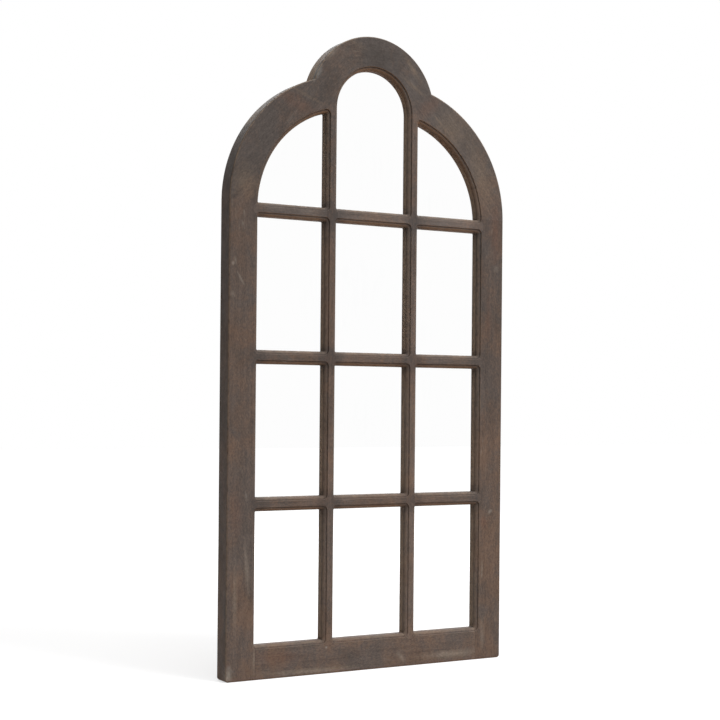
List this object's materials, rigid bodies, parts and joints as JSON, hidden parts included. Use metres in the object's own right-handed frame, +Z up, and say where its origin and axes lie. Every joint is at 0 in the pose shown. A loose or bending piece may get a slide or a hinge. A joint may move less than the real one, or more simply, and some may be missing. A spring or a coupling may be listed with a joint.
{
  "type": "arched window mirror",
  "caption": "Tall wooden window-frame mirror with round shoulders, a raised semicircular crown, moulded glazing bars and ring hangers on the back.",
  "frame": {"origin": "middle of the plain band on the back face of the bottom rail, where the frame lies against the wall side", "axes": "+X to the right seen from the room, +Y out of the back towards the wall, +Z up; the mirror faces -Y"},
  "size_m": [0.61, 0.0445, 1.219],
  "materials": {
    "frame_wood": "aged dark brown, worn satin",
    "bar_wood": "aged dark brown, worn satin",
    "mirror_plate": "silvered float glass",
    "back_panel_board": "smooth hardboard",
    "dowel_wood": "plain beech",
    "screw_steel": "zinc plated",
    "hanger_steel": "zinc plated",
    "ring_steel": "zinc plated",
    "bumper_rubber": "matt"
  },
  "bodies": {
    "frame": {"left_stile": "frame_wood", "right_stile": "frame_wood", "bottom_rail": "frame_wood", "left_arch_segment": "frame_wood", "right_arch_segment": "frame_wood", "crown_arch": "frame_wood", "left_muntin": "bar_wood", "right_muntin": "bar_wood", "lower_bar": "bar_wood", "middle_bar": "bar_wood", "upper_bar": "bar_wood", "left_mirror": "mirror_plate", "centre_mirror": "mirror_plate", "right_mirror": "mirror_plate", "backing_panel": "back_panel_board", "frame_dowels": "dowel_wood", "panel_screws": "screw_steel", "hanger_screws": "screw_steel", "left_hanger_strap": "hanger_steel", "right_hanger_strap": "hanger_steel", "wall_bumpers": "bumper_rubber"},
    "left_ring": {"left_ring": "ring_steel"},
    "right_ring": {"right_ring": "ring_steel"}
  },
  "joints": [
    {"name": "left_ring_pivot", "type": "hinge", "parent": "frame", "child": "left_ring", "pos_m": [-0.286, 0.0031, 0.817], "axis": [1, 0, 0], "range_deg": [0, 180]},
    {"name": "right_ring_pivot", "type": "hinge", "parent": "frame", "child": "right_ring", "pos_m": [0.286, 0.0031, 0.817], "axis": [1, 0, 0], "range_deg": [0, 180]}
  ]
}
